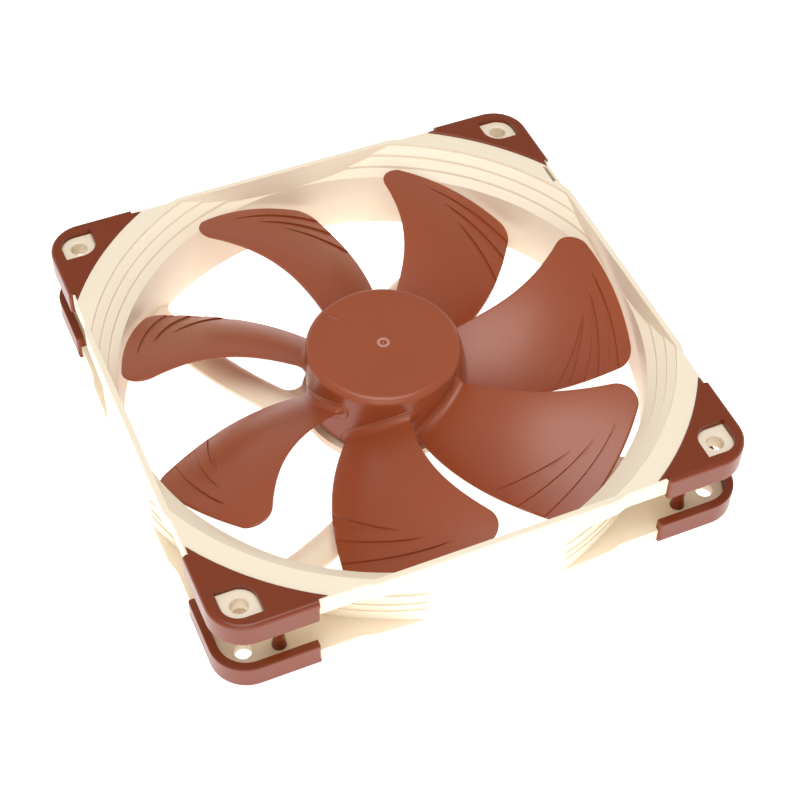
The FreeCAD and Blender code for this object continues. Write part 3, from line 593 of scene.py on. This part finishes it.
def hub_mesh(shape):
    """Hub cup with its rounded crown and the gate mark at the centre."""
    edge = shape.hub_round / MM
    inside = HUB_RADIUS - HUB_WALL
    ceiling = HUB_TOP - HUB_WALL
    pit = HUB_TOP - GATE_DEPTH
    profile = [(0, pit), (GATE_INSIDE, pit), (GATE_INSIDE, HUB_TOP)]
    profile += [(GATE_RADIUS, HUB_TOP), (6.0, HUB_TOP), (12.0, HUB_TOP),
                (HUB_RADIUS - edge - 0.6, HUB_TOP)]
    profile += quarter(HUB_RADIUS - edge, HUB_TOP - edge, edge, 90, 0, 12)
    profile += [(HUB_RADIUS, HUB_TOP - edge - 0.6)]
    profile += [(HUB_RADIUS, HUB_BOTTOM + 0.9)]
    profile += quarter(HUB_RADIUS - 0.25, HUB_BOTTOM + 0.25, 0.25, 0, -90, 4)
    profile += [(inside + 0.15, HUB_BOTTOM), (inside, HUB_BOTTOM + 0.15)]
    profile += [(inside, ceiling - 0.4), (inside - 0.4, ceiling), (0, ceiling)]
    bm = bmesh.new()
    lathe(bm, profile, closed=False)
    return finished(bm, "hub")


def gate_mesh():
    """Scar where the plastic entered the mould: a low rounded ring with a nub in its middle."""
    middle = (GATE_INSIDE + GATE_RADIUS) / 2
    wide = (GATE_RADIUS - GATE_INSIDE) / 2
    bm = bmesh.new()
    ring = [(middle + wide * math.cos(math.radians(a)),
             HUB_TOP + GATE_RISE * math.sin(math.radians(a)))
            for a in range(0, 181, 20)]
    ring += [(GATE_INSIDE, HUB_TOP - GATE_DEPTH), (GATE_RADIUS, HUB_TOP - GATE_DEPTH)]
    lathe(bm, ring, steps=48)
    lathe(bm, [(radius, HUB_TOP - drop) for radius, drop in NUB], steps=24, closed=False)
    return finished(bm, "gate")


def tick_mesh():
    """Low raised tick that the mould leaves on the hub's top."""
    bm = bmesh.new()
    strip(bm, [Vector((x, y, 0)) for x, y in MARK_LINE], MARK_WIDTH)
    return finished(bm, "tick")


def strip(bm, line, width):
    """Low rounded bead along a line on the hub's top."""
    rings = []
    for i, point in enumerate(line):
        way = (line[min(i + 1, len(line) - 1)] - line[max(i - 1, 0)]).normalized()
        side = Vector((-way.y, way.x, 0))
        ring = []
        for across, up in BEAD:
            corner = point + side * across * width + Vector((0, 0, HUB_TOP + up))
            ring.append(bm.verts.new(corner * MM))
        rings.append(ring)
    count = len(rings[0])
    for one, two in zip(rings, rings[1:]):
        for i in range(count):
            j = (i + 1) % count
            bm.faces.new((one[i], one[j], two[j], two[i]))
    bm.faces.new(rings[0])
    bm.faces.new(rings[-1])


def finished(bm, name):
    """Smooth-shaded mesh of an edit mesh, with its faces turned outwards."""
    bmesh.ops.remove_doubles(bm, verts=bm.verts, dist=CLOSE)
    bmesh.ops.recalc_face_normals(bm, faces=bm.faces)
    for f in bm.faces:
        f.smooth = True
    mesh = bpy.data.meshes.new(name)
    bm.to_mesh(mesh)
    bm.free()
    return mesh


def ring_tree():
    """Geometry tree: an object repeated round the axis and joined to the incoming mesh."""
    tree = bpy.data.node_groups.new("repeat_round_axis", "GeometryNodeTree")
    face = tree.interface
    face.new_socket("Geometry", in_out="INPUT", socket_type="NodeSocketGeometry")
    face.new_socket("Part", in_out="INPUT", socket_type="NodeSocketObject")
    face.new_socket("Count", in_out="INPUT", socket_type="NodeSocketInt").default_value = 7
    face.new_socket("Material", in_out="INPUT", socket_type="NodeSocketMaterial")
    face.new_socket("Geometry", in_out="OUTPUT", socket_type="NodeSocketGeometry")
    given = tree.nodes.new("NodeGroupInput")
    result = tree.nodes.new("NodeGroupOutput")
    places = add_node(tree, "GeometryNodePoints", {"Count": given.outputs["Count"]})
    index = tree.nodes.new("GeometryNodeInputIndex")
    step = add_node(tree, "ShaderNodeMath", {0: 2 * math.pi, 1: given.outputs["Count"]},
                    operation="DIVIDE")
    angle = add_node(tree, "ShaderNodeMath", {0: index.outputs[0], 1: step.outputs[0]},
                     operation="MULTIPLY")
    turn = add_node(tree, "ShaderNodeCombineXYZ", {"Z": angle.outputs[0]})
    part = add_node(tree, "GeometryNodeObjectInfo", {"Object": given.outputs["Part"]})
    copies = add_node(tree, "GeometryNodeInstanceOnPoints",
                      {"Points": places.outputs[0], "Instance": part.outputs["Geometry"],
                       "Rotation": turn.outputs[0]})
    solid = add_node(tree, "GeometryNodeRealizeInstances", {"Geometry": copies.outputs[0]})
    join = tree.nodes.new("GeometryNodeJoinGeometry")
    tree.links.new(given.outputs["Geometry"], join.inputs[0])
    tree.links.new(solid.outputs[0], join.inputs[0])
    coat = add_node(tree, "GeometryNodeSetMaterial", {"Geometry": join.outputs[0],
                                                      "Material": given.outputs["Material"]})
    tree.links.new(coat.outputs[0], result.inputs[0])
    return tree


# ---- windings ----

def loop_curve(across, upward, rounding, place):
    """Closed curve of one turn of wire round an arm that points along X, its middle at a height."""
    curve = bpy.data.curves.new("turn", "CURVE")
    curve.dimensions = "3D"
    spline = curve.splines.new("POLY")
    points = []
    for i, (y, z) in enumerate(((1, 1), (-1, 1), (-1, -1), (1, -1))):
        for step in range(4):
            a = math.radians(90 * i + 30 * step)
            points.append((0, y * (across - rounding) + rounding * math.cos(a),
                           place + z * (upward - rounding) + rounding * math.sin(a)))
    spline.points.add(len(points) - 1)
    for point, (x, y, z) in zip(spline.points, points):
        point.co = (x, y, z, 1)
    spline.use_cyclic_u = True
    return bpy.data.objects.new("turn", curve)


def winding_tree():
    """Geometry tree: a turn of wire repeated along an arm, thickened, and turned to its arm."""
    tree = bpy.data.node_groups.new("winding_layer", "GeometryNodeTree")
    face = tree.interface
    face.new_socket("Geometry", in_out="INPUT", socket_type="NodeSocketGeometry")
    face.new_socket("Turn", in_out="INPUT", socket_type="NodeSocketObject")
    face.new_socket("Turns", in_out="INPUT", socket_type="NodeSocketInt").default_value = 8
    for name in ("First", "Pitch", "Wire", "Arm Angle"):
        face.new_socket(name, in_out="INPUT", socket_type="NodeSocketFloat")
    face.new_socket("Material", in_out="INPUT", socket_type="NodeSocketMaterial")
    face.new_socket("Geometry", in_out="OUTPUT", socket_type="NodeSocketGeometry")
    given = tree.nodes.new("NodeGroupInput").outputs
    result = tree.nodes.new("NodeGroupOutput")
    start = add_node(tree, "ShaderNodeCombineXYZ", {"X": given["First"]})
    step = add_node(tree, "ShaderNodeCombineXYZ", {"X": given["Pitch"]})
    places = add_node(tree, "GeometryNodeMeshLine",
                      {"Count": given["Turns"], "Start Location": start.outputs[0],
                       "Offset": step.outputs[0]})
    turn = add_node(tree, "GeometryNodeObjectInfo", {"Object": given["Turn"]})
    copies = add_node(tree, "GeometryNodeInstanceOnPoints", {"Points": places.outputs[0],
                                                             "Instance": turn.outputs["Geometry"]})
    lines = add_node(tree, "GeometryNodeRealizeInstances", {"Geometry": copies.outputs[0]})
    radius = add_node(tree, "ShaderNodeMath", {0: given["Wire"], 1: 0.5}, operation="MULTIPLY")
    round_wire = add_node(tree, "GeometryNodeCurvePrimitiveCircle",
                          {"Resolution": WIRE_SIDES, "Radius": radius.outputs[0]})
    tube = add_node(tree, "GeometryNodeCurveToMesh", {"Curve": lines.outputs[0],
                                                      "Profile Curve": round_wire.outputs[0]})
    smooth = add_node(tree, "GeometryNodeSetShadeSmooth", {"Geometry": tube.outputs[0]})
    turned = add_node(tree, "ShaderNodeCombineXYZ", {"Z": given["Arm Angle"]})
    arm = add_node(tree, "GeometryNodeTransform",
                   {"Geometry": smooth.outputs[0], "Rotation": turned.outputs[0]})
    join = tree.nodes.new("GeometryNodeJoinGeometry")
    tree.links.new(given["Geometry"], join.inputs[0])
    tree.links.new(arm.outputs[0], join.inputs[0])
    solid = add_node(tree, "GeometryNodeRealizeInstances", {"Geometry": join.outputs[0]})
    coat = add_node(tree, "GeometryNodeSetMaterial", {"Geometry": solid.outputs[0],
                                                      "Material": given["Material"]})
    tree.links.new(coat.outputs[0], result.inputs[0])
    return tree


def windings(context, wire, material):
    """Replaces each coil's plain block by turns of wire in layers, inside the block's space."""
    tree = winding_tree()
    low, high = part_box("coil_1")
    middle = (low[2] + high[2]) / 2
    for index in range(4):
        piece = bpy.data.objects.new("winding_%d" % (index + 1), bpy.data.meshes.new("winding"))
        context.scene.collection.objects.link(piece)
        made = []
        for layer in range(WINDING_LAYERS):
            inset = wire * (0.5 + layer)
            turn = loop_curve((high[1] - low[1]) / 2 - inset, (high[2] - low[2]) / 2 - inset,
                              max(WINDING_ROUND * MM - inset, wire * 0.6), middle)
            context.scene.collection.objects.link(turn)
            made.append(turn)
            room = high[0] - low[0] - wire
            turns = int(room / wire)
            tree_modifier(piece, tree, {"Turn": turn, "Turns": turns, "First": low[0] + wire / 2,
                                        "Pitch": room / (turns - 1), "Wire": wire * WIRE_FULLNESS,
                                        "Arm Angle": index * math.pi / 2, "Material": material})
        applied(piece)
        for turn in made:
            bpy.data.objects.remove(turn)
        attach(piece, "frame")
        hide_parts("coil_%d" % (index + 1))


# ---- operators ----

class CASEFAN_OT_impeller(bpy.types.Operator):
    """Impeller: hub cup with its swept, grooved blades repeated round the axis"""
    bl_idname = "casefan.impeller"
    bl_label = "Impeller"

    def execute(self, context):
        shape = context.scene.fan_shape
        look = context.scene.fan_finish
        plastic = moulded("rotor_plastic_finish", look.rotor_colour, look.rotor_roughness,
                          grain=3200.0, drift=0.07, bump=0.5, Specular_IOR_Level=0.5)
        source = bpy.data.objects.new("blade_source", blade_mesh(shape))
        context.scene.collection.objects.link(source)
        piece = bpy.data.objects.new("fan_impeller", hub_mesh(shape))
        context.scene.collection.objects.link(piece)
        tree_modifier(piece, ring_tree(), {"Part": source, "Count": shape.blade_count,
                                           "Material": plastic})
        applied(piece)
        bpy.data.objects.remove(source)
        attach(piece, "rotor")
        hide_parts("impeller")
        scar = moulded("gate_scar_finish", look.gate_colour, 0.4, grain=5000.0, drift=0.25, bump=0.4)
        new_piece("gate_scar", gate_mesh(), "rotor", scar)
        new_piece("hub_tick", tick_mesh(), "rotor", plastic)
        return {"FINISHED"}


class CASEFAN_OT_frame(bpy.types.Operator):
    """Frame moulding: the finish of the flanges, duct, struts and motor base"""
    bl_idname = "casefan.frame"
    bl_label = "Frame"

    def execute(self, context):
        look = context.scene.fan_finish
        plastic = moulded("frame_plastic_finish", look.frame_colour, 0.46, grain=3000.0, drift=0.035)
        paint("housing", plastic)
        return {"FINISHED"}


class CASEFAN_OT_pads(bpy.types.Operator):
    """Corner pads: the finish of the eight soft pads and their pull-through pegs"""
    bl_idname = "casefan.pads"
    bl_label = "Corner pads"

    def execute(self, context):
        look = context.scene.fan_finish
        rubber = moulded("pad_rubber_finish", look.pad_colour, 0.32, grain=2600.0, drift=0.1,
                         bump=0.25, Specular_IOR_Level=0.45)
        for node in PADS:
            paint(node, rubber)
        return {"FINISHED"}


class CASEFAN_OT_motor(bpy.types.Operator):
    """Motor: finishes of the inner pieces, and windings of modelled wire in place of the blocks"""
    bl_idname = "casefan.motor"
    bl_label = "Motor"

    def execute(self, context):
        steel = machined("yoke_steel_finish", (0.52, 0.52, 0.53), 0.32)
        bright = machined("shaft_steel_finish", (0.75, 0.75, 0.76), 0.14, lines=6000.0)
        brass = machined("brass_finish", (0.80, 0.60, 0.27), 0.22)
        bronze = machined("bronze_finish", (0.55, 0.35, 0.18), 0.4)
        tin = machined("pin_tin_finish", (0.8, 0.8, 0.8), 0.2)
        sheets = machined("lamination_finish", (0.42, 0.42, 0.45), 0.35)
        magnet = moulded("magnet_finish", (0.035, 0.033, 0.033), 0.5, grain=5000.0, drift=0.4)
        natural = moulded("clip_plastic_finish", (0.78, 0.75, 0.66), 0.4)
        black = moulded("bobbin_plastic_finish", (0.03, 0.03, 0.03), 0.4)
        chip = moulded("chip_plastic_finish", (0.02, 0.02, 0.021), 0.55)
        ceramic = moulded("ceramic_finish", (0.42, 0.3, 0.18), 0.5)
        board = moulded("board_finish", (0.02, 0.14, 0.05), 0.25, grain=1500.0, drift=0.5,
                        Coat_Weight=0.3)
        paper = moulded("label_paper_finish", (0.78, 0.75, 0.68), 0.55, grain=2500.0, drift=0.06)
        copper = moulded("copper_wire_finish", (0.55, 0.17, 0.06), 0.25, Metallic=0.9)
        looks = {"rotor_yoke": steel, "shaft": bright, "shaft_bush": brass, "bearing_tube": brass,
                 "bearing_sleeve": bronze, "winding_pins": tin, "stator_core": sheets,
                 "ring_magnet": magnet, "stabiliser_magnet": magnet, "thrust_plate": natural,
                 "oil_seal": natural, "retaining_clip": natural, "upper_insulator": black,
                 "lower_insulator": black, "hall_sensor": chip, "driver_chip": chip,
                 "capacitor": ceramic, "circuit_board": board, "base_label": paper}
        for node, material in looks.items():
            paint(node, material)
        windings(context, context.scene.fan_shape.wire, copper)
        return {"FINISHED"}


class CASEFAN_OT_stage(bpy.types.Operator):
    """Stage: pale floor, soft studio light and the camera"""
    bl_idname = "casefan.stage"
    bl_label = "Stage"

    def execute(self, context):
        values = context.scene.fan_stage
        self.camera(context, values)
        self.floor(context, values)
        self.lights(context, values)
        return {"FINISHED"}

    def camera(self, context, values):
        az, el, roll = values.azimuth, values.elevation, values.roll
        back = Vector((math.sin(az) * math.cos(el), -math.cos(az) * math.cos(el), math.sin(el)))
        right = Vector((math.cos(az), math.sin(az), 0))
        up = back.cross(right)
        side = right * math.cos(roll) + up * math.sin(roll)
        top = up * math.cos(roll) - right * math.sin(roll)
        place = Vector(values.target) + back * values.distance
        data = bpy.data.cameras.new("view")
        data.lens = values.lens
        data.sensor_width = 36.0
        data.clip_start = 0.01
        camera = bpy.data.objects.new("view", data)
        turn = Matrix((side, top, back)).transposed().to_4x4()
        camera.matrix_world = Matrix.Translation(place) @ turn
        context.scene.collection.objects.link(camera)
        context.scene.camera = camera

    def floor(self, context, values):
        bm = bmesh.new()
        bmesh.ops.create_grid(bm, x_segments=8, y_segments=8, size=FLOOR_HALF)
        mesh = bpy.data.meshes.new("floor")
        bm.to_mesh(mesh)
        bm.free()
        floor = bpy.data.objects.new("floor", mesh)
        context.scene.collection.objects.link(floor)
        floor.location.z = -FLOOR_DROP
        paper = moulded("floor_paper", values.floor_colour, 0.85, grain=800.0, drift=0.01, bump=0.02,
                        Emission_Color=(1.0, 1.0, 1.0, 1.0), Emission_Strength=values.floor_glow)
        mesh.materials.append(paper)

    def lights(self, context, values):
        world = context.scene.world or bpy.data.worlds.new("world")
        context.scene.world = world
        world.use_nodes = True
        tree = world.node_tree
        ground = tree.nodes["Background"]
        ground.inputs["Color"].default_value = (1.0, 1.0, 1.0, 1.0)
        way = tree.nodes.new("ShaderNodeTexCoord").outputs["Generated"]
        parts = add_node(tree, "ShaderNodeSeparateXYZ", {0: way})
        fade = add_node(tree, "ShaderNodeMapRange",
                        {"Value": parts.outputs["Z"], "From Min": HORIZON_END, "From Max": SKY_START,
                         "To Min": values.horizon, "To Max": values.sky},
                        interpolation_type="SMOOTHSTEP")
        tree.links.new(fade.outputs["Result"], ground.inputs["Strength"])
        self.softbox(context, "overhead", OVERHEAD_PLACE, OVERHEAD_SIZE, values.overhead)
        self.softbox(context, "front", FRONT_PLACE, FRONT_SIZE, values.front)
        context.scene.view_settings.view_transform = "Standard"

    def softbox(self, context, name, place, size, power):
        data = bpy.data.lights.new(name, "AREA")
        data.shape = "SQUARE"
        data.size = size
        data.energy = power
        light = bpy.data.objects.new(name, data)
        light.location = place
        light.rotation_mode = "QUATERNION"
        light.rotation_quaternion = Vector(place).to_track_quat("Z", "Y")
        context.scene.collection.objects.link(light)


class CASEFAN_PT_panel(bpy.types.Panel):
    """Lists the fan's pieces in the sidebar"""
    bl_label = "Case Fan"
    bl_idname = "CASEFAN_PT_panel"
    bl_space_type = "VIEW_3D"
    bl_region_type = "UI"
    bl_category = "Case Fan"

    def draw(self, context):
        for group in (context.scene.fan_shape, context.scene.fan_finish, context.scene.fan_stage):
            for name in group.bl_rna.properties.keys():
                if name not in ("rna_type", "name"):
                    self.layout.prop(group, name)
        for operator in OPERATORS:
            self.layout.operator(operator.bl_idname)


OPERATORS = (CASEFAN_OT_stage, CASEFAN_OT_frame, CASEFAN_OT_pads, CASEFAN_OT_impeller,
             CASEFAN_OT_motor)
CLASSES = (FanShape, FanFinish, FanStage) + OPERATORS + (CASEFAN_PT_panel,)


def register():
    for item in CLASSES:
        bpy.utils.register_class(item)
    bpy.types.Scene.fan_shape = bpy.props.PointerProperty(type=FanShape)
    bpy.types.Scene.fan_finish = bpy.props.PointerProperty(type=FanFinish)
    bpy.types.Scene.fan_stage = bpy.props.PointerProperty(type=FanStage)


def unregister():
    for name in ("fan_stage", "fan_finish", "fan_shape"):
        delattr(bpy.types.Scene, name)
    for item in reversed(CLASSES):
        bpy.utils.unregister_class(item)


def main():
    register()
    bpy.ops.casefan.stage()
    bpy.ops.casefan.frame()
    bpy.ops.casefan.pads()
    bpy.ops.casefan.impeller()
    bpy.ops.casefan.motor()


if __name__ == "__main__":
    main()
